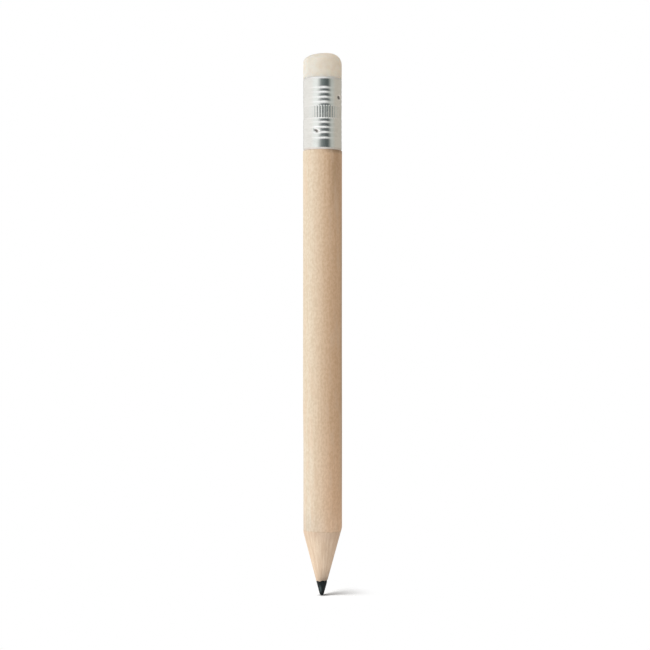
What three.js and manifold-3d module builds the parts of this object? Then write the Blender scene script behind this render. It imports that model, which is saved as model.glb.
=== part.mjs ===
// A short round pencil, sharpened, with a crimped metal ferrule and a rubber eraser.
// Millimetres, +Z up. The origin is on the barrel's axis, level with the writing tip.

import * as THREE from "three";
import { mergeVertices } from "three/addons/utils/BufferGeometryUtils.js";
import Module from "manifold-3d";

// Wood casing
const BODY_LENGTH = 79.61; // writing tip to the shoulder that stops the ferrule
const BARREL_DIAMETER = 7;
const SHOULDER_CHAMFER = 0.06; // outer edge of the shoulder
const TENON_LENGTH = 6.2; // turned-down end inside the ferrule
const TENON_CHAMFER = 0.4;
const GLUE_LINE = 0.04; // film between the two slats

// Lead
const LEAD_DIAMETER = 1.82;
const LEAD_CLEARANCE = 0.04; // film between the lead and its groove
const LEAD_RUNOUT = 0.15; // the lead lies this far to -X of the barrel's axis

// Sharpened point
const CONE_HALF_ANGLE = 15.1; // degrees
const TIP_RADIUS = 0.37;
const POINT_RUNOUT = 0.155; // the sharpener left the tip this far to -X of the barrel's axis
const POINT_TILT = 0.41; // degrees that the cone's axis leans back to +X as it rises

// Ferrule
const FERRULE_LENGTH = 13.05;
const FERRULE_STEP = 0.05; // the barrel stands this far proud of the ferrule and of the eraser
const FERRULE_WALL = 0.25;
const LIP_RADIUS = 0.2; // rounding of the outer edge at each end
const SEAT_GAP = 0.04; // ferrule to shoulder, and eraser to ferrule
const GRIP_CLEARANCE = 0.04; // bore to tenon, and bore to plug
const BAND_LIFT = 0.135; // the fluted band sits this far above mid-length
const FLUTE_COUNT = 42;
const FLUTE_LENGTH = 2.3;
const FLUTE_RUN_OUT = 0.3; // length over which a flute fades at each end
const FLUTE_DEPTH = 0.07;
const RIM_WIDTH = 0.42; // plain rim between the flutes and the nearest groove
const GROOVES_PER_SIDE = 4; // rolled grooves above the fluted band, and as many below it
const UPPER_GROOVE_PITCH = 0.86;
const LOWER_GROOVE_PITCH = 0.92;
const GROOVE_WIDTH = 0.4;
const GROOVE_DEPTH = 0.03;
const PLAIN_END = 1.2; // least plain length beyond the last groove

// Staked pricks, one row into the tenon and one into the eraser
const STAKES_PER_ROW = 2;
const STAKE_DIAMETER = 0.75;
const STAKE_DEPTH = 0.38;
const STAKE_CLEARANCE = 0.06; // burr to the pocket that it presses
const TENON_STAKE_HEIGHT = 3.27; // above the ferrule's lower edge
const TENON_STAKE_TURN = -19.4; // degrees from the front, -Y, towards +X
const ERASER_STAKE_DROP = 3.69; // below the ferrule's upper edge
const ERASER_STAKE_TURN = 60;

// Eraser
const ERASER_EXPOSED = 4.54; // ferrule's upper edge to the crown
const CROWN_DEPTH = 1.85; // crown's flat to the straight side, on average
const CROWN_DEPTH_LEAN = 0.25; // deeper by this at +X, shallower at -X
const CROWN_FLAT_RADIUS = 0.8;
const CROWN_FLAT_SHIFT = 0.7; // the flat's middle lies this far to +X
const BULGE_RADIUS = 0.1; // rounding where the rubber swells over the ferrule's edge
const PLUG_CHAMFER = 0.4;
const PLUG_GAP = 0.3; // inner end of the eraser to the end of the wood

// Finishes
const FRONT_WOOD = { color: 0xdcc09c, roughness: 0.62, metalness: 0 };
const BACK_WOOD = { color: 0xd8bb96, roughness: 0.62, metalness: 0 };
const GRAPHITE = { color: 0x2b3838, roughness: 0.38, metalness: 0.1 };
const ALUMINIUM = { color: 0xd9dbd7, roughness: 0.24, metalness: 1 };
const RUBBER = { color: 0xeae3d6, roughness: 0.78, metalness: 0 };

// Fineness of the facets
const BARREL_SIDES = 48;
const CONE_SIDES = 54;
const LEAD_SIDES = 30;
const FERRULE_SIDES = 2 * FLUTE_COUNT;
const STAKE_SIDES = 10;
const CROWN_STEPS = 8;
const TIP_STEPS = 4;
const EDGE_STEPS = 3;
const GROOVE_STEPS = 4;
const TOLERANCE = 0.001;

const FRONT = -1; // side of the seam that faces -Y
const BACK = 1;

const barrelRadius = BARREL_DIAMETER / 2;
const leadRadius = LEAD_DIAMETER / 2;
const ferruleRadius = barrelRadius - FERRULE_STEP;
const eraserRadius = ferruleRadius;
const ferruleFoot = BODY_LENGTH + SEAT_GAP;
const bodyTop = BODY_LENGTH + TENON_LENGTH;
const gripRadius = ferruleRadius - FERRULE_WALL - GRIP_CLEARANCE;
const bandMiddle = FERRULE_LENGTH / 2 + BAND_LIFT;
const grooveHeights = rolledGrooves();

const wasm = await Module();
wasm.setup();

// A closed geometry as a solid that can be joined and cut.
function solidOf(geometry) {
  const bare = geometry.clone();
  bare.deleteAttribute("normal");
  bare.deleteAttribute("uv");
  const merged = mergeVertices(bare);
  const vertProperties = new Float32Array(merged.attributes.position.array);
  const triVerts = new Uint32Array(merged.index.array);
  return new wasm.Manifold(new wasm.Mesh({ numProp: 3, vertProperties, triVerts }));
}

// A joined or cut solid as a geometry with flat facets.
function geometryOf(solid) {
  const { vertProperties, triVerts } = solid.getMesh();
  const shared = new THREE.BufferGeometry();
  shared.setAttribute("position", new THREE.BufferAttribute(vertProperties, 3));
  shared.setIndex(new THREE.BufferAttribute(triVerts, 1));
  const geometry = shared.toNonIndexed();
  geometry.computeVertexNormals();
  return geometry;
}

function point(radius, height) {
  return new THREE.Vector2(radius, height);
}

// An arc in the plane of radius and height, with angles in radians from the radius axis.
function arc(centre, width, height, from, to, steps) {
  return new THREE.EllipseCurve(centre.x, centre.y, width, height, from, to).getPoints(steps);
}

// Turns a profile of radius and height points round +Z.
function revolve(profile, sides) {
  return new THREE.LatheGeometry(profile, sides).rotateX(Math.PI / 2);
}

// Heights of the grooves above the sleeve's lower edge, as many as leave both ends plain.
function rolledGrooves() {
  const first = FLUTE_LENGTH / 2 + RIM_WIDTH + GROOVE_WIDTH / 2;
  const least = PLAIN_END + GROOVE_WIDTH / 2;
  const heights = [];
  for (let groove = 0; groove < GROOVES_PER_SIDE; groove += 1) {
    heights.push(bandMiddle + first + groove * UPPER_GROOVE_PITCH);
    heights.push(bandMiddle - first - groove * LOWER_GROOVE_PITCH);
  }
  return heights.filter((height) => height > least && height < FERRULE_LENGTH - least);
}

// Points across one groove in the sleeve's outer wall, from low to high.
function groove(middle) {
  const points = [];
  for (let step = 0; step <= GROOVE_STEPS; step += 1) {
    const across = step / GROOVE_STEPS - 1 / 2;
    const press = (GROOVE_DEPTH * (1 + Math.cos(2 * Math.PI * across))) / 2;
    points.push(point(ferruleRadius - press, middle + across * GROOVE_WIDTH));
  }
  return points;
}

// Presses the flutes into the outer surface of the turned sleeve, fading out at both ends.
function pressFlutes(sleeve) {
  const position = sleeve.attributes.position;
  for (let index = 0; index < position.count; index += 1) {
    const x = position.getX(index);
    const y = position.getY(index);
    const radius = Math.hypot(x, y);
    const fromEnd = FLUTE_LENGTH / 2 - Math.abs(position.getZ(index) - bandMiddle);
    if (radius > ferruleRadius - FERRULE_WALL / 2 && fromEnd > 0) {
      const fade = Math.min(1, fromEnd / FLUTE_RUN_OUT);
      const wave = (1 - Math.cos(FLUTE_COUNT * Math.atan2(y, x))) / 2;
      const pressed = 1 - (FLUTE_DEPTH * fade * wave) / radius;
      position.setXY(index, x * pressed, y * pressed);
    }
  }
}

// Both rows of punch cones, points inward, with the points at a set distance from the axis.
function stakeCones(pointRadius, length) {
  const rows = [
    { height: TENON_STAKE_HEIGHT, turn: TENON_STAKE_TURN },
    { height: FERRULE_LENGTH - ERASER_STAKE_DROP, turn: ERASER_STAKE_TURN },
  ];
  const taper = STAKE_DIAMETER / 2 / STAKE_DEPTH;
  const cones = [];
  for (const { height, turn } of rows) {
    for (let stake = 0; stake < STAKES_PER_ROW; stake += 1) {
      const cone = new THREE.ConeGeometry(length * taper, length, STAKE_SIDES);
      cone.translate(0, -pointRadius - length / 2, height);
      cone.rotateZ(THREE.MathUtils.degToRad(turn) + (2 * Math.PI * stake) / STAKES_PER_ROW);
      cones.push(solidOf(cone));
    }
  }
  return cones.reduce((joined, cone) => joined.add(cone));
}

// The pockets that the burrs press into the wood and the rubber.
function stakePockets() {
  const pointRadius = ferruleRadius - STAKE_DEPTH - FERRULE_WALL - STAKE_CLEARANCE;
  return stakeCones(pointRadius, 2 * STAKE_DEPTH + FERRULE_WALL);
}

// Everything that the sharpener leaves: a round tip, the cone, then room for the whole barrel.
function sharpenedSpace() {
  const angle = THREE.MathUtils.degToRad(CONE_HALF_ANGLE);
  const wide = BARREL_DIAMETER;
  const top = bodyTop + wide;
  const tip = arc(point(0, TIP_RADIUS), TIP_RADIUS, TIP_RADIUS, -Math.PI / 2, -angle, TIP_STEPS);
  const coneStart = tip[tip.length - 1];
  const coneEnd = point(wide, coneStart.y + (wide - coneStart.x) / Math.tan(angle));
  const space = revolve([...tip, coneEnd, point(wide, top), point(0, top)], CONE_SIDES);
  space.rotateY(THREE.MathUtils.degToRad(POINT_TILT));
  space.translate(-POINT_RUNOUT, 0, 0);
  return solidOf(space);
}

// A round rod along the lead's axis that runs past both ends of the casing by a set length.
function rod(radius, overrun) {
  const top = bodyTop + overrun;
  const profile = [point(0, -overrun), point(radius, -overrun), point(radius, top), point(0, top)];
  return solidOf(revolve(profile, LEAD_SIDES).translate(-LEAD_RUNOUT, 0, 0));
}

// The casing before it is halved: barrel, shoulder and tenon, with a hole for the lead.
function casingBlank() {
  const profile = [
    point(0, 0),
    point(barrelRadius, 0),
    point(barrelRadius, BODY_LENGTH - SHOULDER_CHAMFER),
    point(barrelRadius - SHOULDER_CHAMFER, BODY_LENGTH),
    point(gripRadius, BODY_LENGTH),
    point(gripRadius, bodyTop - TENON_CHAMFER),
    point(gripRadius - TENON_CHAMFER, bodyTop),
    point(0, bodyTop),
  ];
  const hole = rod(leadRadius + LEAD_CLEARANCE, BARREL_DIAMETER);
  return solidOf(revolve(profile, BARREL_SIDES)).subtract(hole);
}

// One half of the casing, on one side of the seam.
function slat(side) {
  const depth = BARREL_DIAMETER;
  const half = new THREE.BoxGeometry(2 * depth, depth, 2 * bodyTop);
  half.translate(0, (side * (GLUE_LINE + depth)) / 2, bodyTop);
  const pockets = stakePockets().translate(0, 0, ferruleFoot);
  const halved = casingBlank().intersect(solidOf(half));
  return geometryOf(halved.intersect(sharpenedSpace()).subtract(pockets));
}

// The lead, as long as the casing and sharpened with it.
function lead() {
  return geometryOf(rod(leadRadius, 0).intersect(sharpenedSpace()));
}

// The sleeve: rounded lips, rolled grooves, a fluted band, and stakes with their burrs inside.
function ferrule() {
  const lipMiddle = ferruleRadius - LIP_RADIUS;
  const upperLipFoot = FERRULE_LENGTH - LIP_RADIUS;
  const boreRadius = ferruleRadius - FERRULE_WALL;
  const fluteEnd = FLUTE_LENGTH / 2;
  const fluteRows = [-fluteEnd, FLUTE_RUN_OUT - fluteEnd, fluteEnd - FLUTE_RUN_OUT, fluteEnd];
  const wall = fluteRows.map((offset) => point(ferruleRadius, bandMiddle + offset));
  wall.push(...grooveHeights.flatMap(groove));
  wall.sort((first, second) => first.y - second.y);
  const profile = [
    ...arc(point(lipMiddle, LIP_RADIUS), LIP_RADIUS, LIP_RADIUS, -Math.PI / 2, 0, EDGE_STEPS),
    ...wall,
    ...arc(point(lipMiddle, upperLipFoot), LIP_RADIUS, LIP_RADIUS, 0, Math.PI / 2, EDGE_STEPS),
    point(boreRadius, FERRULE_LENGTH),
    point(boreRadius, 0),
    point(lipMiddle, 0),
  ];
  const sleeve = revolve(profile, FERRULE_SIDES);
  pressFlutes(sleeve);
  const burrs = stakeCones(ferruleRadius - STAKE_DEPTH - FERRULE_WALL, STAKE_DEPTH + FERRULE_WALL / 2);
  const dents = stakeCones(ferruleRadius - STAKE_DEPTH, 2 * STAKE_DEPTH);
  return geometryOf(solidOf(sleeve).add(burrs).subtract(dents));
}

// Leans the crown of the turned rubber: its flat lies towards +X, where it also rounds off deeper.
function leanCrown(rubber, top) {
  const position = rubber.attributes.position;
  for (let index = 0; index < position.count; index += 1) {
    const x = position.getX(index);
    const y = position.getY(index);
    const share = (top - position.getZ(index)) / CROWN_DEPTH;
    if (share < 1 + TOLERANCE) {
      const out = Math.sqrt(Math.max(0, share * (2 - share)));
      const lean = x / Math.max(TOLERANCE, Math.hypot(x, y));
      const depth = share * (CROWN_DEPTH + CROWN_DEPTH_LEAN * lean);
      position.setXYZ(index, x + CROWN_FLAT_SHIFT * (1 - out), y, top - depth);
    }
  }
}

// The rubber: a plug in the bore, a step over the ferrule's edge, and a rounded, leaning crown.
function eraser() {
  const plugFoot = TENON_LENGTH - SEAT_GAP + PLUG_GAP;
  const step = FERRULE_LENGTH + SEAT_GAP;
  const crown = FERRULE_LENGTH + ERASER_EXPOSED;
  const crownWidth = eraserRadius - CROWN_FLAT_RADIUS;
  const bulgeCentre = point(eraserRadius - BULGE_RADIUS, step + BULGE_RADIUS);
  const crownCentre = point(CROWN_FLAT_RADIUS, crown - CROWN_DEPTH);
  const profile = [
    point(0, plugFoot),
    point(gripRadius - PLUG_CHAMFER, plugFoot),
    point(gripRadius, plugFoot + PLUG_CHAMFER),
    point(gripRadius, step),
    ...arc(bulgeCentre, BULGE_RADIUS, BULGE_RADIUS, -Math.PI / 2, 0, EDGE_STEPS),
    ...arc(crownCentre, crownWidth, CROWN_DEPTH, 0, Math.PI / 2, CROWN_STEPS),
    point(0, crown),
  ];
  const rubber = revolve(profile, BARREL_SIDES);
  leanCrown(rubber, crown);
  return geometryOf(solidOf(rubber).subtract(stakePockets()));
}

function piece(name, geometry, finish) {
  const mesh = new THREE.Mesh(geometry, new THREE.MeshStandardMaterial(finish));
  mesh.name = name;
  return mesh;
}

const casing = new THREE.Group();
casing.add(piece("slat_front", slat(FRONT), FRONT_WOOD));
casing.add(piece("slat_back", slat(BACK), BACK_WOOD));
casing.add(piece("lead", lead(), GRAPHITE));

const cap = new THREE.Group();
cap.position.z = ferruleFoot;
cap.add(piece("ferrule", ferrule(), ALUMINIUM));
cap.add(piece("eraser", eraser(), RUBBER));

const pencil = new THREE.Group();
pencil.add(casing, cap);

export default pencil;
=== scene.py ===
"""A short round pencil with a grooved and fluted ferrule and an eraser, in plain studio light.

Metres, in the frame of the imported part: +Z runs from the writing tip to the eraser, and -Y faces the
camera with +X to its right. A turn is an angle round the pencil's axis from the front, -Y, towards +X.
"""

import logging
import math
from dataclasses import dataclass, field
from enum import Enum
from typing import Iterator

import bmesh
import bpy
import numpy as np
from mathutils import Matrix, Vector


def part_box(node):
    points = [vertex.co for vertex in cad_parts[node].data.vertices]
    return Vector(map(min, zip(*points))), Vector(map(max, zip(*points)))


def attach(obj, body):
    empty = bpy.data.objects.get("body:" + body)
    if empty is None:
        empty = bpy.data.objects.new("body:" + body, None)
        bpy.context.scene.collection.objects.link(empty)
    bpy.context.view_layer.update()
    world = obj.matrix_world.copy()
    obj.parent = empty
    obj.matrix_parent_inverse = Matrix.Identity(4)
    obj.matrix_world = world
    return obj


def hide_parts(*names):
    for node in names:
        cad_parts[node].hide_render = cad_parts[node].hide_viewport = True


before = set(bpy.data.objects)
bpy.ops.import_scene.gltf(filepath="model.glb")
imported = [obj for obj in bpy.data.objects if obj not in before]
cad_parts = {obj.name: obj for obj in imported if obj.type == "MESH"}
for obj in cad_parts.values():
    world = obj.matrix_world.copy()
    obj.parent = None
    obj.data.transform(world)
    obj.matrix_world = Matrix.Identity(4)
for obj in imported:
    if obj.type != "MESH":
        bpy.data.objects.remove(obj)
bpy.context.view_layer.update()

Array = np.ndarray
Colour = tuple[float, float, float]
Span = tuple[float, float]

MM = 0.001
BODY = "root"
FULL_TURN = 2 * math.pi
QUARTER_TURN = math.pi / 2
UNTINTED: Colour = (1, 1, 1)
log = logging.getLogger("pencil")


class Slot(Enum):
    """The record's material slots."""

    WOOD = "wood"
    GRAPHITE = "graphite"
    METAL = "ferrule_metal"
    RUBBER = "eraser_rubber"


class Half(Enum):
    """The two slats, by the turn at the middle of each."""

    FRONT = 0.0
    BACK = math.pi


class Mark(Enum):
    """Values that a mesh stores at its points for its finish to read."""

    # On the sleeve this holds how darkened each point is: soil and painted shade in the pits, painted shade
    # on the lips, wear on the fluted band
    PIT = "pit"
    NONE = "unmarked"


# Shapes


def smooth_step(low: float, high: float, values: Array) -> Array:
    """Returns shares that ease from 0 where the values are low to 1 where they are high."""
    share = np.clip((values - low) / (high - low), 0, 1)
    return share * share * (3 - 2 * share)


def faded(share: Array, span: Span) -> Array:
    """Returns weights that fade in up to the span's start and out again from its end to 1."""
    start, end = span
    return smooth_step(0, start, share) * (1 - smooth_step(end, 1, share))


def turned(turn: Array, radius: Array, height: Array) -> Array:
    """Returns points round the pencil's axis, with x, y and z along the last axis of the array."""
    turn, radius, height = np.broadcast_arrays(turn, radius, height)
    return np.stack([radius * np.sin(turn), -radius * np.cos(turn), height], axis=-1)


def full_turn(columns: int) -> Array:
    """Returns one row of equally spaced turns right round the pencil."""
    return np.linspace(0, FULL_TURN, columns, endpoint=False)[None, :]


def column(*stretches: Array) -> Array:
    """Returns the stretches joined end to end as one column."""
    return np.concatenate(stretches)[:, None]


@dataclass(frozen=True)
class Ripple:
    """The faint unevenness of a worked surface, as a sum of seeded waves."""

    depth: float
    most_round: int
    shortest: float
    seed: int
    waves: int = 14

    def at(self, turn: Array, height: Array) -> Array:
        """Works out the unevenness.

        Args:
            turn: Angles from the front.
            height: Heights along the pencil.

        Returns:
            Distances out from the even surface.
        """
        draw = np.random.default_rng(self.seed)
        total = np.zeros(np.broadcast(turn, height).shape)
        for _ in range(self.waves):
            rounds = draw.integers(0, self.most_round, endpoint=True)
            rise = FULL_TURN * draw.uniform(-1, 1) / self.shortest
            total = total + np.cos(rounds * turn + rise * height + draw.uniform(0, FULL_TURN))
        return self.depth * total / math.sqrt(self.waves)


class Draft:
    """Points and faces of one piece while it is put together."""

    def __init__(self, mark: Mark = Mark.NONE) -> None:
        """Starts an empty draft.

        Args:
            mark: What the values stored at its points stand for.
        """
        self.mark = mark
        self.points: list[Array] = []
        self.marks: list[Array] = []
        self.faces: list[list[int]] = []
        self.count = 0

    def add(self, points: Array, marks: Array | None = None) -> Array:
        """Adds points to the draft.

        Args:
            points: The points, with x, y and z along the last axis.
            marks: The values stored at them, or nothing for zeros.

        Returns:
            The points' numbers, in the shape of the points.
        """
        shape = points.shape[:-1]
        stored = np.zeros(shape) if marks is None else np.broadcast_to(marks, shape)
        size = int(np.prod(shape))
        numbers = np.arange(self.count, self.count + size).reshape(shape)
        self.points.append(points.reshape(-1, 3))
        self.marks.append(stored.reshape(-1))
        self.count += size
        return numbers

    def skin(self, grid: Array, closed: bool = False) -> None:
        """Covers a grid of points with four-sided faces.

        Args:
            grid: The points' numbers, in rows and columns.
            closed: Whether the last column meets the first.
        """
        if closed:
            grid = np.concatenate([grid, grid[:, :1]], axis=1)
        corners = [grid[:-1, :-1], grid[:-1, 1:], grid[1:, 1:], grid[1:, :-1]]
        self.faces += np.stack(corners, axis=-1).reshape(-1, len(corners)).tolist()

    def fan(self, pole: Array, ring: Array) -> None:
        """Closes a ring of points, given in order, with triangles to a pole."""
        hub = int(pole.ravel()[0])
        self.faces += [[hub, int(one), int(other)] for one, other in zip(ring, np.roll(ring, -1))]

    def finished(self, name: str, sharp_angle: float) -> bpy.types.Object:
        """Makes the object.

        Args:
            name: The piece's name.
            sharp_angle: Edges that turn by more than this stay sharp.

        Returns:
            The new object, linked to the scene.
        """
        mesh = bpy.data.meshes.new(name)
        mesh.from_pydata(np.concatenate(self.points).tolist(), [], self.faces)
        outward = bmesh.new()
        outward.from_mesh(mesh)
        bmesh.ops.recalc_face_normals(outward, faces=outward.faces)
        outward.to_mesh(mesh)
        outward.free()
        mesh.shade_smooth()
        mesh.set_sharp_from_angle(angle=sharp_angle)
        if self.mark is not Mark.NONE:
            stored = mesh.attributes.new(self.mark.value, "FLOAT", "POINT")
            stored.data.foreach_set("value", np.concatenate(self.marks).astype(np.float32))
        made = bpy.data.objects.new(name, mesh)
        bpy.context.scene.collection.objects.link(made)
        return made


# Shader maths


class Signal:
    """One output of a shader node, so that shader maths reads as Python."""

    def __init__(self, sheet: "Sheet", socket: bpy.types.NodeSocket | None) -> None:
        """Keeps the output and the sheet that its node is on."""
        self.sheet = sheet
        self.socket = socket

    def __add__(self, other: "Signal | float") -> "Signal":
        """Returns this value plus the other."""
        return self.sheet.maths("ADD", self, other)

    def __radd__(self, other: float) -> "Signal":
        """Returns the other value plus this."""
        return self.sheet.maths("ADD", other, self)

    def __sub__(self, other: "Signal | float") -> "Signal":
        """Returns this value minus the other."""
        return self.sheet.maths("SUBTRACT", self, other)

    def __rsub__(self, other: float) -> "Signal":
        """Returns the other value minus this."""
        return self.sheet.maths("SUBTRACT", other, self)

    def __mul__(self, other: "Signal | float") -> "Signal":
        """Returns this value times the other."""
        return self.sheet.maths("MULTIPLY", self, other)

    def __rmul__(self, other: float) -> "Signal":
        """Returns the other value times this."""
        return self.sheet.maths("MULTIPLY", other, self)

    def sibling(self, name: str) -> "Signal":
        """Returns another output of the same node."""
        return Signal(self.sheet, self.socket.node.outputs[name])

    def eased(self, low: float, high: float) -> "Signal":
        """Eases this value.

        Args:
            low: The value where the rise starts.
            high: The value where it ends.

        Returns:
            A share, from 0 at low to 1 at high.
        """
        settings = {"interpolation_type": "SMOOTHSTEP"}
        inputs = {"Value": self, "From Min": low, "From Max": high}
        return self.sheet.node("ShaderNodeMapRange", settings, inputs)


class Sheet:
    """A node tree, filled by one method."""

    def __init__(self, tree: bpy.types.NodeTree) -> None:
        """Takes the tree and empties it."""
        tree.nodes.clear()
        self.tree = tree

    def node(
        self,
        kind: str,
        settings: dict[str, object] | None = None,
        inputs: dict[str | int, object] | None = None,
        output: str = "",
    ) -> Signal:
        """Adds a node.

        Args:
            kind: Blender's name for the node's type.
            settings: The node's own settings, set first.
            inputs: Values or signals for its sockets, by name or number.
            output: The name of the output wanted, or nothing for the first.

        Returns:
            That output.
        """
        made = self.tree.nodes.new(kind)
        for name, value in (settings or {}).items():
            setattr(made, name, value)
        for key, value in (inputs or {}).items():
            socket = self._input(made, key)
            if isinstance(value, Signal):
                self.tree.links.new(value.socket, socket)
            else:
                socket.default_value = value
        shown = [socket for socket in made.outputs if socket.enabled and output in ("", socket.name)]
        return Signal(self, shown[0] if shown else None)

    @staticmethod
    def _input(made: bpy.types.Node, key: str | int) -> bpy.types.NodeSocket:
        """Returns the node's input of that number, or the one in use that has that name."""
        named = [socket for socket in made.inputs if socket.enabled and socket.name == key]
        return named[0] if named else made.inputs[key]

    def maths(self, operation: str, first: Signal | float, second: Signal | float) -> Signal:
        """Returns the result of a Math node on two values."""
        return self.node("ShaderNodeMath", {"operation": operation}, {0: first, 1: second})

    def vector(self, operation: str, *operands: Signal | Colour, output: str = "") -> Signal:
        """Returns the result of a Vector Math node on some vectors."""
        return self.node("ShaderNodeVectorMath", {"operation": operation}, dict(enumerate(operands)), output)

    def blend(self, shares: tuple[float, ...], *signals: Signal) -> Signal:
        """Returns the sum of some values, each times its share."""
        first, *others = (share * signal for share, signal in zip(shares, signals))
        return sum(others, first)

    def mix(self, share: Signal | float, first: Signal | Colour, second: Signal | Colour) -> Signal:
        """Returns a mix of two colours, with that share of the second."""
        inputs = {"Factor": share, "A": rgba(first), "B": rgba(second)}
        return self.node("ShaderNodeMix", {"data_type": "RGBA"}, inputs)

    def tinted(self, colour: Signal, share: Signal, tint: Colour) -> Signal:
        """Returns a colour with that share of a tint."""
        return self.vector("MULTIPLY", colour, self.mix(share, UNTINTED, tint))

    def split(self, vector: Signal) -> tuple[Signal, Signal, Signal]:
        """Returns a vector's three parts."""
        first = self.node("ShaderNodeSeparateXYZ", None, {"Vector": vector}, "X")
        return first, first.sibling("Y"), first.sibling("Z")

    def place(self) -> Signal:
        """Returns the point's place in the piece's own frame."""
        return self.node("ShaderNodeTexCoord", None, None, "Object")

    def stored(self, mark: Mark) -> Signal:
        """Returns the value that the mesh stores under a mark."""
        return self.node("ShaderNodeAttribute", {"attribute_name": mark.value}, None, "Fac")

    def bump(self, height: Signal, depth: float) -> Signal:
        """Returns a normal for a relief of that depth."""
        return self.node("ShaderNodeBump", None, {"Height": height, "Distance": depth}, "Normal")

    def principled(self, inputs: dict[str, object]) -> Signal:
        """Returns a Principled shader with those inputs."""
        return self.node("ShaderNodeBsdfPrincipled", None, inputs)


def rgba(colour: Signal | Colour) -> Signal | tuple[float, ...]:
    """Returns a colour as a colour socket takes it."""
    return colour if isinstance(colour, Signal) else (*colour, 1.0)


# Patterns of the finishes


@dataclass(frozen=True)
class Grain:
    """Noise that is drawn out along the pencil, or squeezed if along is the shorter."""

    across: float
    along: float
    shift: float = 0.0
    detail: float = 2.0
    span: Span | None = None

    def drawn(self, sheet: Sheet, shift: float = 0.0) -> Signal:
        """Draws the noise.

        Args:
            sheet: The sheet to draw on.
            shift: Moves the noise further, so that two pieces differ.

        Returns:
            A value about 0.5, eased to a share from 0 to 1 where the grain has a span.
        """
        moved = self.shift + shift
        sizes = (1 / self.across, 1 / self.across, 1 / self.along)
        vector = sheet.vector("MULTIPLY_ADD", sheet.place(), sizes, (moved, -moved, moved))
        inputs = {"Vector": vector, "Scale": 1.0, "Detail": self.detail}
        noise = sheet.node("ShaderNodeTexNoise", None, inputs)
        return noise.eased(*self.span) if self.span else noise


@dataclass(frozen=True)
class Rays:
    """Noise drawn out along the straight lines down a cone, by how often it changes in one radian."""

    changes: float
    along: float
    shift: float
    span: Span

    def drawn(self, sheet: Sheet, shift: float) -> Signal:
        """Draws the noise.

        Args:
            sheet: The sheet to draw on.
            shift: Moves the noise further, so that two pieces differ.

        Returns:
            A share from 0 to 1.
        """
        moved = self.shift + shift
        ray = sheet.vector("NORMALIZE", sheet.vector("MULTIPLY", sheet.place(), (1, 1, 0)))
        rise = sheet.vector("MULTIPLY_ADD", sheet.place(), (0, 0, 1 / self.along), (moved, -moved, moved))
        vector = sheet.vector("MULTIPLY_ADD", ray, (self.changes, self.changes, 0), rise)
        return sheet.node("ShaderNodeTexNoise", None, {"Vector": vector, "Scale": 1.0}).eased(*self.span)


@dataclass(frozen=True)
class Streak:
    """A streak that differs from what is round it, as a long ellipsoid in the piece."""

    turn: float
    radius: float
    middle: float
    half_length: float
    half_width: float
    full_within: float = 0.15

    def share(self, sheet: Sheet) -> Signal:
        """Works out how much of the streak shows.

        Args:
            sheet: The sheet to draw on.

        Returns:
            A share from 0 to 1.
        """
        centre = (self.radius * math.sin(self.turn), -self.radius * math.cos(self.turn), self.middle)
        sizes = (1 / self.half_width, 1 / self.half_width, 1 / self.half_length)
        scaled = sheet.vector("MULTIPLY", sheet.vector("SUBTRACT", sheet.place(), centre), sizes)
        return 1 - sheet.vector("LENGTH", scaled, output="Value").eased(self.full_within, 1.0)


@dataclass(frozen=True)
class Area:
    """An area with soft edges, by the stretches of X and Z where each of its edges eases in or out."""

    left: Span | None = None
    right: Span | None = None
    foot: Span | None = None
    head: Span | None = None

    def share(self, sheet: Sheet) -> Signal:
        """Works out how much of the area shows.

        Args:
            sheet: The sheet to draw on.

        Returns:
            A share from 0 to 1.
        """
        side, _, up = sheet.split(sheet.place())
        starts = ((side, self.left), (up, self.foot))
        ends = ((side, self.right), (up, self.head))
        shares = [place.eased(*edge) for place, edge in starts if edge]
        shares += [1 - place.eased(*edge) for place, edge in ends if edge]
        return math.prod(shares)


@dataclass(frozen=True)
class Cast:
    """A change of tint from the pencil's left to its right that paints light and shade across a piece, and
    which may fade out with height.
    """

    left: Colour
    right: Colour
    across: Span
    fade: Span | None = None

    def on(self, sheet: Sheet, colour: Signal) -> Signal:
        """Tints a colour.

        Args:
            sheet: The sheet to draw on.
            colour: The colour.

        Returns:
            The tinted colour.
        """
        side, _, up = sheet.split(sheet.place())
        tint = sheet.mix(side.eased(*self.across), self.left, self.right)
        tinted = sheet.vector("MULTIPLY", colour, tint)
        return sheet.mix(up.eased(*self.fade), tinted, colour) if self.fade else tinted


# Finishes


@dataclass(frozen=True)
class Finish:
    """What all finishes share: a name, and a surface made of shader nodes."""

    name: str

    def surface(self, sheet: Sheet) -> Signal:
        """Returns the shader of this finish."""
        raise NotImplementedError

    def material(self) -> bpy.types.Material:
        """Makes the material.

        Returns:
            A new material with this finish.
        """
        made = bpy.data.materials.new(self.name)
        made.use_nodes = True
        sheet = Sheet(made.node_tree)
        sheet.node("ShaderNodeOutputMaterial", None, {"Surface": self.surface(sheet)})
        return made


# Where the wood's painted light and shade change across the pencil, and the span that spreads noise over 0 to
# 1
WOOD_ACROSS: Span = (-3.6 * MM, 2.4 * MM)
EVEN_NOISE: Span = (0.36, 0.64)


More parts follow.
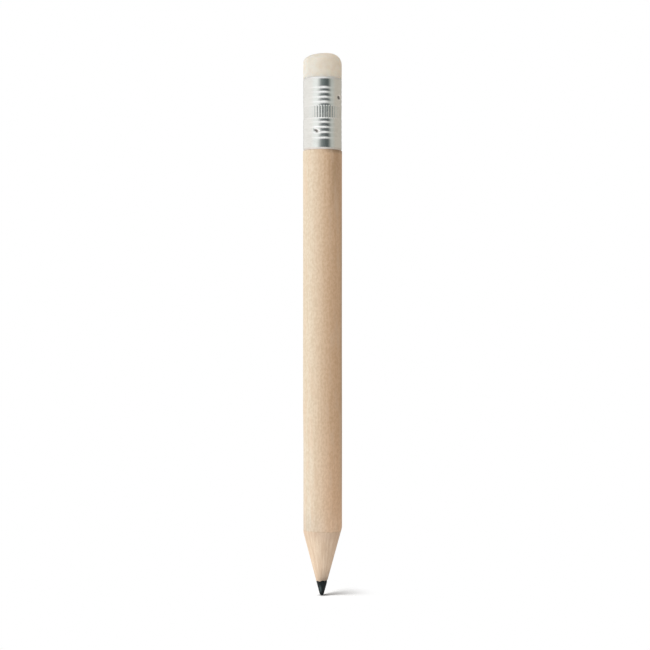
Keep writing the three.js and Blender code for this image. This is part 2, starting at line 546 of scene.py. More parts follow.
@dataclass(frozen=True)
class BareWood(Finish):
    """Pale sanded wood with fine lengthwise grain, freshly cut on the cone, with light and shade painted
    across it from the lit left to the shaded right.
    """

    shift: float
    streaks: tuple[Streak, ...] = ()
    bands: Grain = Grain(0.85 * MM, 70 * MM)
    lines: Grain = Grain(0.24 * MM, 16 * MM, shift=3.1, detail=3.0)
    fibres: Grain = Grain(0.07 * MM, 2.4 * MM, shift=7.7)
    patches: Grain = Grain(1.1 * MM, 4.5 * MM, shift=11.3, span=(0.45, 0.75))
    flecks: Grain = Grain(0.055 * MM, 0.9 * MM, shift=19.9, detail=0.0, span=(0.70, 0.82))
    mottles: Grain = Grain(0.36 * MM, 0.52 * MM, shift=23.3, detail=1.0, span=EVEN_NOISE)
    ribs: Rays = Rays(7.0, 4 * MM, shift=52.3, span=EVEN_NOISE)
    mottled: float = 0.5

    pale: Colour = (0.790, 0.620, 0.451)
    deep: Colour = (0.658, 0.484, 0.320)
    tone_shares: tuple[float, ...] = (0.30, 0.40, 0.30)
    tone_span: Span = (0.34, 0.66)
    # Painted light and shade: paler and cooler on the lit left, deeper and warmer on the shaded right; the
    # two casts after it add more of it low on the barrel
    painted_shading_cast: Cast = Cast((0.97, 1.085, 1.185), (0.98, 0.85, 0.765), WOOD_ACROSS)
    foot_cast: Cast = Cast((1.0, 1.025, 1.05), (1.10, 1.10, 1.13), WOOD_ACROSS, (18 * MM, 34 * MM))
    end_cast: Cast = Cast((0.90, 0.91, 0.93), (1.07, 1.10, 1.15), WOOD_ACROSS, (12.6 * MM, 16.6 * MM))
    # Painted shade on the barrel's right side just below the ferrule
    head: Area = Area(left=(0.6 * MM, 2.2 * MM), right=(2.9 * MM, 3.5 * MM), foot=(63 * MM, 77 * MM))
    head_tint: Colour = (0.80, 0.79, 0.78)
    # Painted shade along the barrel's right edge
    rim: Area = Area(left=(2.9 * MM, 3.5 * MM), foot=(14 * MM, 24 * MM), head=(62 * MM, 74 * MM))
    rim_tint: Colour = (0.82, 0.86, 0.86)
    shaded: Area = Area(left=(-0.6 * MM, 2.2 * MM), foot=(78.9 * MM, 79.5 * MM))
    shade: Colour = (0.30, 0.20, 0.125)
    shade_share: float = 0.75

    cut_pale: Colour = (0.880, 0.705, 0.545)
    cut_deep: Colour = (0.705, 0.515, 0.370)
    cut_shares: tuple[float, ...] = (0.25, 0.50, 0.25)
    cut_span: Span = (0.32, 0.66)
    # Painted light and shade across the cone, from its lit left to its shaded right
    cut_painted_shading: Cast = Cast((0.925, 0.96, 0.945), (1.01, 0.975, 0.96), WOOD_ACROSS)
    cut_head: Area = Area(foot=(9.4 * MM, 11.2 * MM))
    cut_head_tint: Colour = (0.945, 0.925, 0.935)
    ridge_rise: Span = (11.50 * MM, 11.88 * MM)
    ridge_lean: float = 0.035
    ridge_line: float = 1.2
    ridge_least: float = 0.3

    rosy: Colour = (0.731, 0.538, 0.388)
    rosy_share: float = 0.45
    fleck: Colour = (0.50, 0.34, 0.21)
    fleck_share: float = 0.35
    # Graphite smudges by the lead, darkened more towards the shaded right as painted shade
    smudge_and_shade: Colour = (0.11, 0.08, 0.06)
    smudged_and_shaded: Area = Area(head=(2.3 * MM, 5.8 * MM))
    smudge_shade_side: Span = (-1.6 * MM, 0.4 * MM)
    smudge_and_shade_shares: Span = (0.10, 0.50)
    # Painted shade along the wood's edge by the lead, in the same dark colour
    edge_shade: Area = Area(left=(-0.9 * MM, -0.2 * MM), head=(2.75 * MM, 3.5 * MM))
    edge_shade_share: float = 0.3
    streak: Colour = (0.48, 0.31, 0.16)
    streak_share: float = 0.55
    streak_fibres: Span = (0.2, 0.6)

    relief_shares: tuple[float, ...] = (0.6, 0.4, -0.5)
    relief_depth: float = 0.012 * MM
    roughness: float = 0.58
    fibre_roughness: float = 0.16
    gloss: float = 0.32

    def surface(self, sheet: Sheet) -> Signal:
        """Draws the wood of the barrel and the cone, with the marks on both.

        Args:
            sheet: The sheet to draw on.

        Returns:
            The shader of the wood.
        """
        grains = (self.bands, self.lines, self.fibres, self.mottles, self.flecks)
        bands, lines, fibres, mottles, flecks = (grain.drawn(sheet, self.shift) for grain in grains)
        side, _, up = sheet.split(sheet.place())
        cut = 1 - (up + self.ridge_lean * side).eased(*self.ridge_rise)
        tone = sheet.blend(self.tone_shares, bands, lines, fibres).eased(*self.tone_span)
        cut_tone = sheet.blend(self.cut_shares, bands, lines, fibres).eased(*self.cut_span)
        colour = sheet.mix(cut, self._barrel(sheet, tone, mottles), self._cone(sheet, cut_tone))
        line = self.ridge_line * cut * (1 - cut) * (self.ridge_least + mottles)
        colour = self._marked(sheet, sheet.mix(line, colour, self.fleck), flecks, fibres)
        relief = sheet.blend(self.relief_shares, fibres, lines, flecks)
        return sheet.principled({
            "Base Color": colour,
            "Roughness": self.roughness + self.fibre_roughness * fibres,
            "Specular IOR Level": self.gloss,
            "Normal": sheet.bump(relief, self.relief_depth),
        })

    def _barrel(self, sheet: Sheet, tone: Signal, mottles: Signal) -> Signal:
        """Colours the sanded barrel, with light and shade painted across it and painted shade along its right
        edge and under the ferrule.

        Args:
            sheet: The sheet to draw on.
            tone: How deep the grain is.
            mottles: How deep the mottles are.

        Returns:
            The colour.
        """
        tone = sheet.blend((1 - self.mottled, self.mottled), tone, mottles)
        colour = sheet.mix(tone, self.pale, self.deep)
        for cast in (self.painted_shading_cast, self.foot_cast, self.end_cast):
            colour = cast.on(sheet, colour)
        colour = sheet.tinted(colour, self.head.share(sheet), self.head_tint)
        colour = sheet.tinted(colour, self.rim.share(sheet), self.rim_tint)
        return sheet.mix(self.shade_share * self.shaded.share(sheet), colour, self.shade)

    def _cone(self, sheet: Sheet, tone: Signal) -> Signal:
        """Colours the freshly cut cone, with light and shade painted across it.

        Args:
            sheet: The sheet to draw on.
            tone: How deep the grain is.

        Returns:
            The colour.
        """
        ribs = self.ribs.drawn(sheet, self.shift)
        tone = sheet.blend((1 - self.mottled, self.mottled), tone, ribs)
        colour = self.cut_painted_shading.on(sheet, sheet.mix(tone, self.cut_pale, self.cut_deep))
        return sheet.tinted(colour, self.cut_head.share(sheet), self.cut_head_tint)

    def _marked(self, sheet: Sheet, colour: Signal, flecks: Signal, fibres: Signal) -> Signal:
        """Adds rosy patches, flecks, graphite smudges by the lead that darken towards the right as painted
        shade, painted shade along the wood's edge by the lead, and the streaks.

        Args:
            sheet: The sheet to draw on.
            colour: The colour of the wood.
            flecks: Where the flecks are.
            fibres: The finest grain.

        Returns:
            The marked colour.
        """
        side, _, _ = sheet.split(sheet.place())
        colour = sheet.mix(self.rosy_share * self.patches.drawn(sheet, self.shift), colour, self.rosy)
        colour = sheet.mix(self.fleck_share * flecks, colour, self.fleck)
        least, most = self.smudge_and_shade_shares
        smudged_and_shaded = self.smudged_and_shaded.share(sheet) * (least + (most - least) * side.eased(*self.smudge_shade_side))
        colour = sheet.mix(smudged_and_shaded, colour, self.smudge_and_shade)
        colour = sheet.mix(self.edge_shade_share * self.edge_shade.share(sheet), colour, self.smudge_and_shade)
        for streak in self.streaks:
            share = self.streak_share * streak.share(sheet) * fibres.eased(*self.streak_fibres)
            colour = sheet.mix(share, colour, self.streak)
        return colour


@dataclass(frozen=True)
class Graphite(Finish):
    """Green-black sharpened graphite with fine marks of the blade, and a highlight painted on as a paler
    streak.
    """

    # Where a highlight is painted on, in the paler colour below
    sheen: Streak
    scores: Grain = Grain(0.06 * MM, 3.0 * MM)
    dust: Grain = Grain(0.05 * MM, 0.05 * MM, shift=5.3)
    score_shares: tuple[float, ...] = (0.7, 0.3)
    worn_span: Span = (0.35, 0.75)
    dark: Colour = (0.003, 0.006, 0.0065)
    worn: Colour = (0.010, 0.016, 0.017)
    painted_sheen: Colour = (0.066, 0.090, 0.090)
    painted_sheen_share: float = 0.9
    roughness: float = 0.30
    dust_roughness: float = 0.16
    gloss: float = 0.16
    relief_depth: float = 0.012 * MM

    def surface(self, sheet: Sheet) -> Signal:
        """Draws the lead.

        Args:
            sheet: The sheet to draw on.

        Returns:
            The shader of the lead.
        """
        dust = self.dust.drawn(sheet)
        relief = sheet.blend(self.score_shares, self.scores.drawn(sheet), dust)
        colour = sheet.mix(relief.eased(*self.worn_span), self.dark, self.worn)
        return sheet.principled({
            "Base Color": sheet.mix(self.painted_sheen_share * self.sheen.share(sheet), colour, self.painted_sheen),
            "Roughness": self.roughness + self.dust_roughness * dust,
            "Specular IOR Level": self.gloss,
            "Normal": sheet.bump(relief, self.relief_depth),
        })


@dataclass(frozen=True)
class BrightAluminium(Finish):
    """Bright rolled aluminium with faint lines round it, soil and painted shade in the pits where it is
    staked, painted shade on the lips and a painted reflection of the wood at the foot.
    """

    rolled: Grain = Grain(3.5 * MM, 0.035 * MM)
    smudges: Grain = Grain(1.3 * MM, 1.0 * MM, shift=4.7, detail=3.0, span=(0.40, 0.75))
    clean: Colour = (0.885, 0.890, 0.875)
    dull: Colour = (0.80, 0.80, 0.78)
    dull_share: float = 0.6
    # The colour of soil and painted shade in the pits and of painted shade on the lips
    soil_and_shade_colour: Colour = (0.10, 0.085, 0.072)
    soil_and_shade_cover: float = 0.9
    # A reflection of the wood painted warm on the sleeve's foot
    foot: Area = Area(head=(79.75 * MM, 80.25 * MM))
    wood_reflection_tint: Colour = (1.05, 0.965, 0.90)
    roughness: float = 0.12
    roughening: tuple[float, ...] = (0.03, 0.05, 0.4)
    relief_depth: float = 0.0006 * MM

    def surface(self, sheet: Sheet) -> Signal:
        """Draws the ferrule.

        Args:
            sheet: The sheet to draw on.

        Returns:
            The shader of the ferrule.
        """
        # The stored value darkens the pits with soil and painted shade, and the lips with painted shade
        pit = sheet.stored(Mark.PIT)
        soil_and_shade = pit * pit
        rolled = self.rolled.drawn(sheet)
        smudges = self.smudges.drawn(sheet)
        colour = sheet.mix(self.dull_share * smudges, self.clean, self.dull)
        colour = sheet.tinted(colour, self.foot.share(sheet), self.wood_reflection_tint)
        return sheet.principled({
            "Base Color": sheet.mix(soil_and_shade, colour, self.soil_and_shade_colour),
            "Metallic": 1 - self.soil_and_shade_cover * soil_and_shade,
            "Roughness": self.roughness + sheet.blend(self.roughening, rolled, smudges, pit),
            "Normal": sheet.bump(rolled, self.relief_depth),
        })


@dataclass(frozen=True)
class EraserRubber(Finish):
    """Off-white matte rubber with a fine grain and a few darker specks, and light and shade painted across
    it: darker on the lit left, warmer on the shaded right.
    """

    clouds: Grain = Grain(0.9 * MM, 0.9 * MM, shift=2.9, detail=3.0)
    crumbs: Grain = Grain(0.07 * MM, 0.07 * MM, shift=8.1)
    specks: Grain = Grain(0.11 * MM, 0.11 * MM, shift=15.7, detail=0.0, span=(0.76, 0.84))
    pale: Colour = (0.835, 0.825, 0.765)
    warm: Colour = (0.798, 0.766, 0.688)
    warm_span: Span = (0.35, 0.70)
    # Painted light and shade: darker on the lit left, warmer on the shaded right
    painted_light_cast: Cast = Cast((0.83, 0.81, 0.785), (1.10, 0.985, 0.89), (-3.3 * MM, 3.3 * MM))
    speck: Colour = (0.60, 0.53, 0.44)
    speck_share: float = 0.5
    roughness: float = 0.74
    crumb_roughness: float = 0.16
    gloss: float = 0.25
    translucence: float = 0.5
    light_reach: float = 1.6 * MM
    reach_of_colours: Colour = (1.0, 0.8, 0.6)
    relief_shares: tuple[float, ...] = (0.6, 0.4)
    relief_depth: float = 0.02 * MM

    def surface(self, sheet: Sheet) -> Signal:
        """Draws the eraser.

        Args:
            sheet: The sheet to draw on.

        Returns:
            The shader of the eraser.
        """
        clouds = self.clouds.drawn(sheet)
        crumbs = self.crumbs.drawn(sheet)
        colour = self.painted_light_cast.on(sheet, sheet.mix(clouds.eased(*self.warm_span), self.pale, self.warm))
        specks = self.speck_share * self.specks.drawn(sheet)
        relief = sheet.blend(self.relief_shares, crumbs, clouds)
        return sheet.principled({
            "Base Color": sheet.mix(specks, colour, self.speck),
            "Roughness": self.roughness + self.crumb_roughness * crumbs,
            "Specular IOR Level": self.gloss,
            "Subsurface Weight": self.translucence,
            "Subsurface Radius": self.reach_of_colours,
            "Subsurface Scale": self.light_reach,
            "Normal": sheet.bump(relief, self.relief_depth),
        })


@dataclass(frozen=True)
class FloorPaper(Finish):
    """White paper that takes the shadow by the tip, with a contact shadow painted round the tip, and runs out
    into the backdrop.
    """

    # A contact shadow painted into the paper round the tip
    painted_contact_shadow: Streak = Streak(
        turn=QUARTER_TURN, radius=0.20 * MM, middle=0.0, half_length=1.0 * MM, half_width=1.7 * MM
    )
    white: Colour = (0.53, 0.53, 0.53)
    shade: Colour = (0.08, 0.08, 0.08)
    shade_share: float = 0.65
    fade: Span = (-0.2 * MM, 10.6 * MM)

    def surface(self, sheet: Sheet) -> Signal:
        """Draws the floor.

        Args:
            sheet: The sheet to draw on.

        Returns:
            The shader of the floor.
        """
        colour = sheet.mix(self.shade_share * self.painted_contact_shadow.share(sheet), self.white, self.shade)
        paper = sheet.principled({"Base Color": colour, "Roughness": 1.0, "Specular IOR Level": 0.0})
        clear = sheet.node("ShaderNodeBsdfTransparent")
        gone = sheet.vector("LENGTH", sheet.place(), output="Value").eased(*self.fade)
        return sheet.node("ShaderNodeMixShader", None, {0: gone, 1: paper, 2: clear})


@dataclass(frozen=True)
class BackdropWhite(Finish):
    """The even white that the camera sees behind everything."""

    level: float = 1.0

    def surface(self, sheet: Sheet) -> Signal:
        """Returns the shader of the backdrop."""
        return sheet.node("ShaderNodeEmission", None, {"Strength": self.level})


# Pieces of the pencil


def settle(piece: bpy.types.Object, finish: Finish, node: str) -> None:
    """Dresses a piece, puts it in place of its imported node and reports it.

    Args:
        piece: The piece.
        finish: Its finish.
        node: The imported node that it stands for.
    """
    piece.data.materials.append(finish.material())
    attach(piece, BODY)
    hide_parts(node)
    log.info("%s: %d faces, for node %s", piece.name, len(piece.data.polygons), node)


@dataclass(frozen=True)
class Sharpening:
    """The sharpener's cut, a little out of line with the barrel, which the wood and the lead share."""

    half_angle: float = math.radians(15.1)
    tip_radius: float = 0.37 * MM
    runout: float = 0.155 * MM
    tilt: float = math.radians(0.41)
    solving_steps: int = 6

    @property
    def ball_top(self) -> float:
        """Height where the round tip runs into the cone."""
        return self.tip_radius * (1 - math.sin(self.half_angle))

    @property
    def ball_spread(self) -> float:
        """Radius where the round tip runs into the cone."""
        return self.tip_radius * math.cos(self.half_angle)

    def offset(self, height: Array) -> Array:
        """Returns how far to +X the cut's axis lies from the barrel's axis."""
        return height * math.tan(self.tilt) - self.runout

    def spread(self, height: Array) -> Array:
        """Works out the cut's radius about its own axis: the round tip, then the cone.

        Args:
            height: Heights above the tip.

        Returns:
            Radii about the cut's axis.
        """
        cone = self.ball_spread + (height - self.ball_top) * math.tan(self.half_angle)
        low = np.clip(height, 0, self.ball_top)
        ball = np.sqrt(low * (2 * self.tip_radius - low))
        return np.where(height < self.ball_top, ball, cone)

    def height_at(self, spread: Array | float) -> Array | float:
        """Returns the height where the cone has a set radius about its own axis."""
        return self.ball_top + (spread - self.ball_spread) / math.tan(self.half_angle)

    def reach(self, turn: Array, height: Array) -> Array:
        """Returns how far the cut is from the barrel's axis, at turns and heights above the tip."""
        offset = self.offset(height)
        return offset * np.sin(turn) + np.sqrt(self.spread(height) ** 2 - (offset * np.cos(turn)) ** 2)

    def height_of(self, turn: Array, radius: Array) -> Array:
        """Works out where the cone reaches a distance from the barrel's axis.

        Args:
            turn: Angles from the front.
            radius: Distances from the axis.

        Returns:
            Heights above the tip.
        """
        height = self.height_at(radius)
        for _ in range(self.solving_steps):
            offset = self.offset(height)
            height = self.height_at(np.sqrt(radius**2 - 2 * radius * offset * np.sin(turn) + offset**2))
        return height


@dataclass(frozen=True)
class StakeRow:
    """One row of punch marks round the ferrule, each an oval pit that leans to one side."""

    height: float
    turn: float
    lean: float
    half_length: float
    half_width: float
    count: int = 2

    def turns(self) -> Iterator[float]:
        """Yields the turn of each mark."""
        for mark in range(self.count):
            yield self.turn + FULL_TURN * mark / self.count


@dataclass
class Ferrule:
    """The aluminium sleeve, with rolled grooves, a fluted band and staked pricks."""

    wall: float = 0.25 * MM
    foot_trim: float = 0.08 * MM
    head_trim: float = 0.11 * MM
    foot_lip: float = 0.37 * MM
    head_lip: float = 0.39 * MM
    lip_inset: float = 0.07 * MM
    lip_curve: float = 1.3
    # Painted shade that dims the reflection of the lips
    foot_lip_shade: float = 0.5
    head_lip_shade: float = 0.38
    lip_shade_ease: float = 0.2
    band_lift: float = 0.15 * MM
    band_sink: float = 0.042 * MM
    band_wear: float = 0.2
    flute_count: int = 42
    flute_phase: float = math.radians(3.5)
    flute_reach: float = 1.20 * MM
    flute_foot_run: float = 0.30 * MM
    flute_head_run: float = 0.07 * MM
    flute_depth: float = 0.058 * MM
    first_groove: float = 1.79 * MM
    upper_groove_pitch: float = 0.86 * MM
    lower_groove_pitch: float = 0.942 * MM
    upper_slips: tuple[float, ...] = (-0.015 * MM, 0.0, 0.04 * MM, 0.01 * MM)
    lower_slips: tuple[float, ...] = (-0.015 * MM, 0.02 * MM, 0.055 * MM, 0.0)
    groove_width: float = 0.40 * MM
    band_groove_width: float = 0.47 * MM
    groove_depth: float = 0.028 * MM
    groove_sharpness: float = 1.3
    groove_root: float = 0.012 * MM
    land_crown: float = 0.016 * MM
    stakes: tuple[StakeRow, ...] = (
        StakeRow(3.26 * MM, math.radians(-19.2), math.radians(-32), 0.76 * MM, 0.42 * MM),
        StakeRow(9.33 * MM, math.radians(62.0), math.radians(78), 0.66 * MM, 1.05 * MM),
    )
    dish_depth: float = 0.06 * MM
    dish_radius: float = 0.62 * MM
    pit_depth: float = 0.20 * MM
    pit_curve: float = 0.45 / MM
    # Soil and painted shade in the pits, standing in for the shade of the pierced hole
    pit_soil_and_shade: float = 0.94
    soil_and_shade_span: Span = (0.10, 0.75)
    pocket_radius: float = 0.62 * MM
    unevenness: Ripple = Ripple(depth=0.0022 * MM, most_round=5, shortest=5 * MM, seed=31)
    columns: int = 420
    wall_rows: int = 320
    bore_rows: int = 60
    sharp_angle: float = math.radians(50)
    finish: BrightAluminium = BrightAluminium("bright_aluminium")
    foot: float = field(init=False)
    length: float = field(init=False)
    radius: float = field(init=False)

    def __post_init__(self) -> None:
        """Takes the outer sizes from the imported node."""
        low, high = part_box("ferrule")
        self.foot = low.z + self.foot_trim
        self.length = high.z - self.head_trim - self.foot
        self.radius = (high.x - low.x) / 2

    @property
    def head(self) -> float:
        """Height of the sleeve's upper edge above the writing tip."""
        return self.foot + self.length

    @property
    def band_middle(self) -> float:
        """Height of the middle of the fluted band above the foot."""
        return self.length / 2 + self.band_lift

    def each_groove(self) -> Iterator[tuple[float, float, float]]:
        """Goes through the rolled grooves, each a little out of its even place.

        Yields:
            The height of a groove's middle above the foot, the pitch of its side and its width.
        """
        upper = (1, self.upper_groove_pitch, self.upper_slips)
        lower = (-1, self.lower_groove_pitch, self.lower_slips)
        for side, pitch, slips in (upper, lower):
            for groove, slip in enumerate(slips):
                by_band = side > 0 and groove == 0
                width = self.band_groove_width if by_band else self.groove_width
                yield self.band_middle + side * (self.first_groove + groove * pitch) + slip, pitch, width

    def groove_press(self, height: Array) -> Array:
        """Works out the rolled grooves and the crowned lands between them.

        Args:
            height: Heights above the foot.

        Returns:
            How far they press the wall in.
        """
        press = np.zeros_like(height)
        for middle, pitch, width in self.each_groove():
            away = np.abs(height - middle)
            fallen = np.clip((pitch / 2 - away) / (pitch / 2 - width / 2), 0, 1)
            sunk = np.clip(1 - away / (width / 2), 0, 1)
            depth = self.groove_depth * width / self.groove_width
            press += self.land_crown * fallen**2 + depth * sunk**self.groove_sharpness
        return press

    def flute_press(self, turn: Array, height: Array) -> Array:
        """Works out the fluted band, which is pressed in most between its rounded reeds.

        Args:
            turn: Angles from the front.
            height: Heights above the foot.

        Returns:
            How far the band is pressed in.
        """
        above_foot = height - self.band_middle + self.flute_reach
        below_head = self.band_middle + self.flute_reach - height
        sink = self.band_sink * np.clip(below_head / (2 * self.flute_reach), 0, 1)
        across = self.flute_count * (turn - self.flute_phase) / FULL_TURN % 1 - 0.5
        flute = self.flute_depth * (2 * across) ** 2 * smooth_step(0, self.flute_head_run, below_head)
        return smooth_step(0, self.flute_foot_run, above_foot) * (sink + flute)

    def each_stake(self, turn: Array, height: Array) -> Iterator[tuple[Array, Array, StakeRow]]:
        """Goes through the punch marks.

        Args:
            turn: Angles from the front.
            height: Heights above the foot.

        Yields:
            The distances across and up from a mark, and the mark's row.
        """
        for row in self.stakes:
            for middle in row.turns():
                away = (turn - middle + math.pi) % FULL_TURN - math.pi
                yield self.radius * away, height - row.height, row

    def stake_press(self, turn: Array, height: Array) -> tuple[Array, Array]:
        """Works out the punch marks: a dish round a curved pit.

        Args:
            turn: Angles from the front.
            height: Heights above the foot.

        Returns:
            How far they press the wall in, and how deep in a pit each point is, from 0 to 1.
        """
        press = np.zeros(np.broadcast(turn, height).shape)
        pits = np.zeros_like(press)
        for across, up, row in self.each_stake(turn, height):
            along = across * math.cos(row.lean) + up * math.sin(row.lean)
            aside = up * math.cos(row.lean) - across * math.sin(row.lean) - self.pit_curve * along**2
            pit = 1 - smooth_step(0, 1, np.hypot(along / row.half_length, aside / row.half_width))
            dish = np.exp(-(across**2 + up**2) / self.dish_radius**2)
            press = press + self.dish_depth * dish + self.pit_depth * pit
            pits = np.maximum(pits, pit)
        return press, pits

    def bore(self, turn: Array, height: Array) -> Array:
        """Works out the sleeve's inside, with the burrs that the punch marks raise there.

        Args:
            turn: Angles from the front.
            height: Heights above the foot.

        Returns:
            Distances from the axis.
        """
        burrs = np.zeros(np.broadcast(turn, height).shape)
        for across, up, _ in self.each_stake(turn, height):
            burrs += np.exp(-(across**2 + up**2) / self.pocket_radius**2)
        return self.radius - self.wall - (self.dish_depth + self.pit_depth) * burrs

    def build(self) -> None:
        """Builds the sleeve, outside and bore, and settles it."""
        turn = full_turn(self.columns) + self.flute_phase
        height, lip = self._outline()
        stake, pits = self.stake_press(turn, height)
        press = self.groove_press(height) + self.flute_press(turn, height) + stake
        press = press + self.lip_inset * lip**self.lip_curve
        outside = self.radius - press + self.unevenness.at(turn, height)
        bore_height = column(np.linspace(self.length, 0, self.bore_rows))
        draft = Draft(Mark.PIT)
        outer_skin = draft.add(turned(turn, outside, self.foot + height), self._shaded_soiled_and_worn(height, lip, pits))
        inner_skin = draft.add(turned(turn, self.bore(turn, bore_height), self.foot + bore_height))
        draft.skin(np.concatenate([outer_skin, inner_skin, outer_skin[:1]]), closed=True)
        settle(draft.finished("ferrule_sleeve", self.sharp_angle), self.finish, "ferrule")

    def _outline(self) -> tuple[Array, Array]:
        """Draws the sleeve's outer wall between its bevelled lips, from the foot up.

        Returns:
            Heights above the foot and how far into a lip each is, from 0 to 1, as columns.
        """
        height = np.linspace(0, self.length, self.wall_rows)
        for middle, _, _ in self.each_groove():
            height = np.union1d(height, middle + self.groove_root * np.arange(-1, 2))
        lip = np.maximum(1 - height / self.foot_lip, 1 - (self.length - height) / self.head_lip)
        return column(height), column(np.clip(lip, 0, 1))

    def _shaded_soiled_and_worn(self, height: Array, lip: Array, pits: Array) -> Array:
        """Works out how darkened the outside is: painted shade on the lips, a little wear on the fluted band,
        and soil with painted shade in the pits.

        Args:
            height: Heights above the foot.
            lip: How far into a lip each is.
            pits: How deep in a pit each point is.

        Returns:
            Shares from 0 to 1.
        """
        end_lip_shade = np.where(height < self.length / 2, self.foot_lip_shade, self.head_lip_shade)
        fluted = np.abs(height - self.band_middle) < self.flute_reach
        lip_shade_and_wear = end_lip_shade * smooth_step(0, self.lip_shade_ease, lip) + self.band_wear * fluted
        return np.maximum(lip_shade_and_wear, self.pit_soil_and_shade * smooth_step(*self.soil_and_shade_span, pits))


@dataclass
class Casing:
    """The two grooved wood slats, sharpened at one end and turned down to a tenon at the other."""

    sharpening: Sharpening
    sleeve: Ferrule
    seam_gap: float = 0.03 * MM
    groove_gap: float = 0.02 * MM
    lead_allowance: float = 0.045 * MM
    edge_thickness: float = 0.01 * MM
    edge_scallops: int = 6
    scallop_depth: float = 0.12 * MM
    edge_tear: float = 0.05 * MM
    edge_lean: float = 0.09 * MM
    ridge_softening: float = 0.012 * MM
    ridge_reach: float = 0.16 * MM
    skim_depth: float = 0.078 * MM
    skim_span: Span = (26 * MM, 34 * MM)
    shoulder_radius: float = 0.06 * MM
    tenon_gap: float = 0.04 * MM
    tenon_chamfer: float = 0.4 * MM
    tear: Ripple = Ripple(depth=0.5, most_round=9, shortest=1.0, seed=5)
    cone_unevenness: Ripple = Ripple(depth=0.010 * MM, most_round=46, shortest=30 * MM, seed=7)
    cone_fade: Span = (0.06, 0.9)
    barrel_unevenness: Ripple = Ripple(depth=0.006 * MM, most_round=4, shortest=24 * MM, seed=12)
    barrel_fade: Span = (0.1, 0.95)
    front_grain: float = 13.0
    back_grain: float = 41.0
    knot_turn: float = math.radians(38)
    knot_middle: float = 75.7 * MM
    knot_half_length: float = 3.3 * MM
    knot_half_width: float = 0.42 * MM
    columns: int = 97
    cone_rows: int = 56
    barrel_rows: int = 44
    corner_rows: int = 5
    tenon_rows: int = 36
    sharp_angle: float = math.radians(25)
    barrel_radius: float = field(init=False)
    lead_radius: float = field(init=False)
    lead_side: float = field(init=False)
    shoulder: float = field(init=False)
    top: float = field(init=False)

    def __post_init__(self) -> None:
        """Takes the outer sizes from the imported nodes."""
        low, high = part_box("slat_front")
        lead_low, lead_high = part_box("lead")
        self.barrel_radius = -low.y
        self.lead_radius = lead_high.y + self.lead_allowance
        self.lead_side = (lead_low.x + lead_high.x) / 2
        self.shoulder = self.sleeve.foot - self.tenon_gap
        self.top = high.z

    def finish(self, half: Half) -> BareWood:
        """Chooses the wood of one slat, each with a grain of its own.

        Args:
            half: Which slat.

        Returns:
            Its finish, with a dark streak by a knot on the front slat.
        """
        if half is Half.BACK:
            return BareWood("bare_wood_back", self.back_grain)
        sizes = (self.knot_middle, self.knot_half_length, self.knot_half_width)
        knot = Streak(self.knot_turn, self.barrel_radius, *sizes)
        return BareWood("bare_wood_front", self.front_grain, (knot,))

    def skim(self, turn: Array, height: Array | float) -> Array:
        """Returns how much the sharpener skimmed off the barrel's -X side, just above the cone."""
        side = np.maximum(0, -np.sin(turn))
        return self.skim_depth * side**2 * (1 - smooth_step(*self.skim_span, height))

    def outline(self, turn: Array) -> tuple[Array, Array]:
        """Draws the outside of the casing from its feather edge to the end of the tenon.

        Args:
            turn: One row of angles from the front.

        Returns:
            Heights and radii, in rows and columns.
        """
        skimmed = self.barrel_radius - self.skim(turn, 0.0)
        ridge = self.sharpening.height_of(turn, skimmed)
        heights, radii = zip(
            self._cone(turn, ridge),
            (ridge, skimmed - self.ridge_softening),
            self._barrel(turn, ridge),
            self._shoulder(turn),
            self._tenon(turn),
        )
        return np.concatenate(heights), np.concatenate(radii)

    def _cone(self, turn: Array, ridge: Array) -> tuple[Array, Array]:
        """Draws the cone from its scalloped and torn feather edge.

        Args:
            turn: One row of angles from the front.
            ridge: The heights of the cone's upper edge.

        Returns:
            Heights and radii.
        """
        torn = self.scallop_depth * (1 + np.cos(self.edge_scallops * turn)) / 2
        torn = torn + self.edge_tear * (1 + np.clip(self.tear.at(turn, 0 * turn), -1, 1))
        torn = torn + self.edge_lean * np.sin(turn)
        edge = self.sharpening.height_at(self.lead_radius + self.groove_gap + self.edge_thickness) + torn
        share = column(np.linspace(0, 1, self.cone_rows))
        height = edge + share * (ridge - self.ridge_reach - edge)
        uneven = faded(share, self.cone_fade) * self.cone_unevenness.at(turn, height)
        return height, self.sharpening.reach(turn, height) + uneven

    def _barrel(self, turn: Array, ridge: Array) -> tuple[Array, Array]:
        """Draws the barrel up to its shoulder.

        Args:
            turn: One row of angles from the front.
            ridge: The heights of the cone's upper edge.

        Returns:
            Heights and radii.
        """
        start = ridge + self.ridge_reach
        share = column(np.linspace(0, 1, self.barrel_rows))
        height = start + share * (self.shoulder - self.shoulder_radius - start)
        uneven = self.barrel_unevenness.at(turn, height) - self.barrel_unevenness.depth
        radius = self.barrel_radius + faded(share, self.barrel_fade) * uneven
        return height, radius - self.skim(turn, height)

    def _shoulder(self, turn: Array) -> tuple[Array, Array]:
        """Draws the rounded edge of the shoulder.

        Args:
            turn: One row of angles from the front.

        Returns:
            Heights and radii.
        """
        bend = column(np.linspace(0, QUARTER_TURN, self.corner_rows)[1:]) + 0 * turn
        height = self.shoulder - self.shoulder_radius * (1 - np.sin(bend))
        return height, self.barrel_radius - self.shoulder_radius * (1 - np.cos(bend))

    def _tenon(self, turn: Array) -> tuple[Array, Array]:
        """Draws the tenon inside the sleeve, with its chamfered end.

        Args:
            turn: One row of angles from the front.

        Returns:
            Heights and radii.
        """
        height = column(np.linspace(self.shoulder, self.top - self.tenon_chamfer, self.tenon_rows)) + 0 * turn
        radius = self.sleeve.bore(turn, height - self.sleeve.foot) - self.tenon_gap
        end = np.full_like(turn, self.top)
        return np.concatenate([height, end]), np.concatenate([radius, radius[-1:] - self.tenon_chamfer])

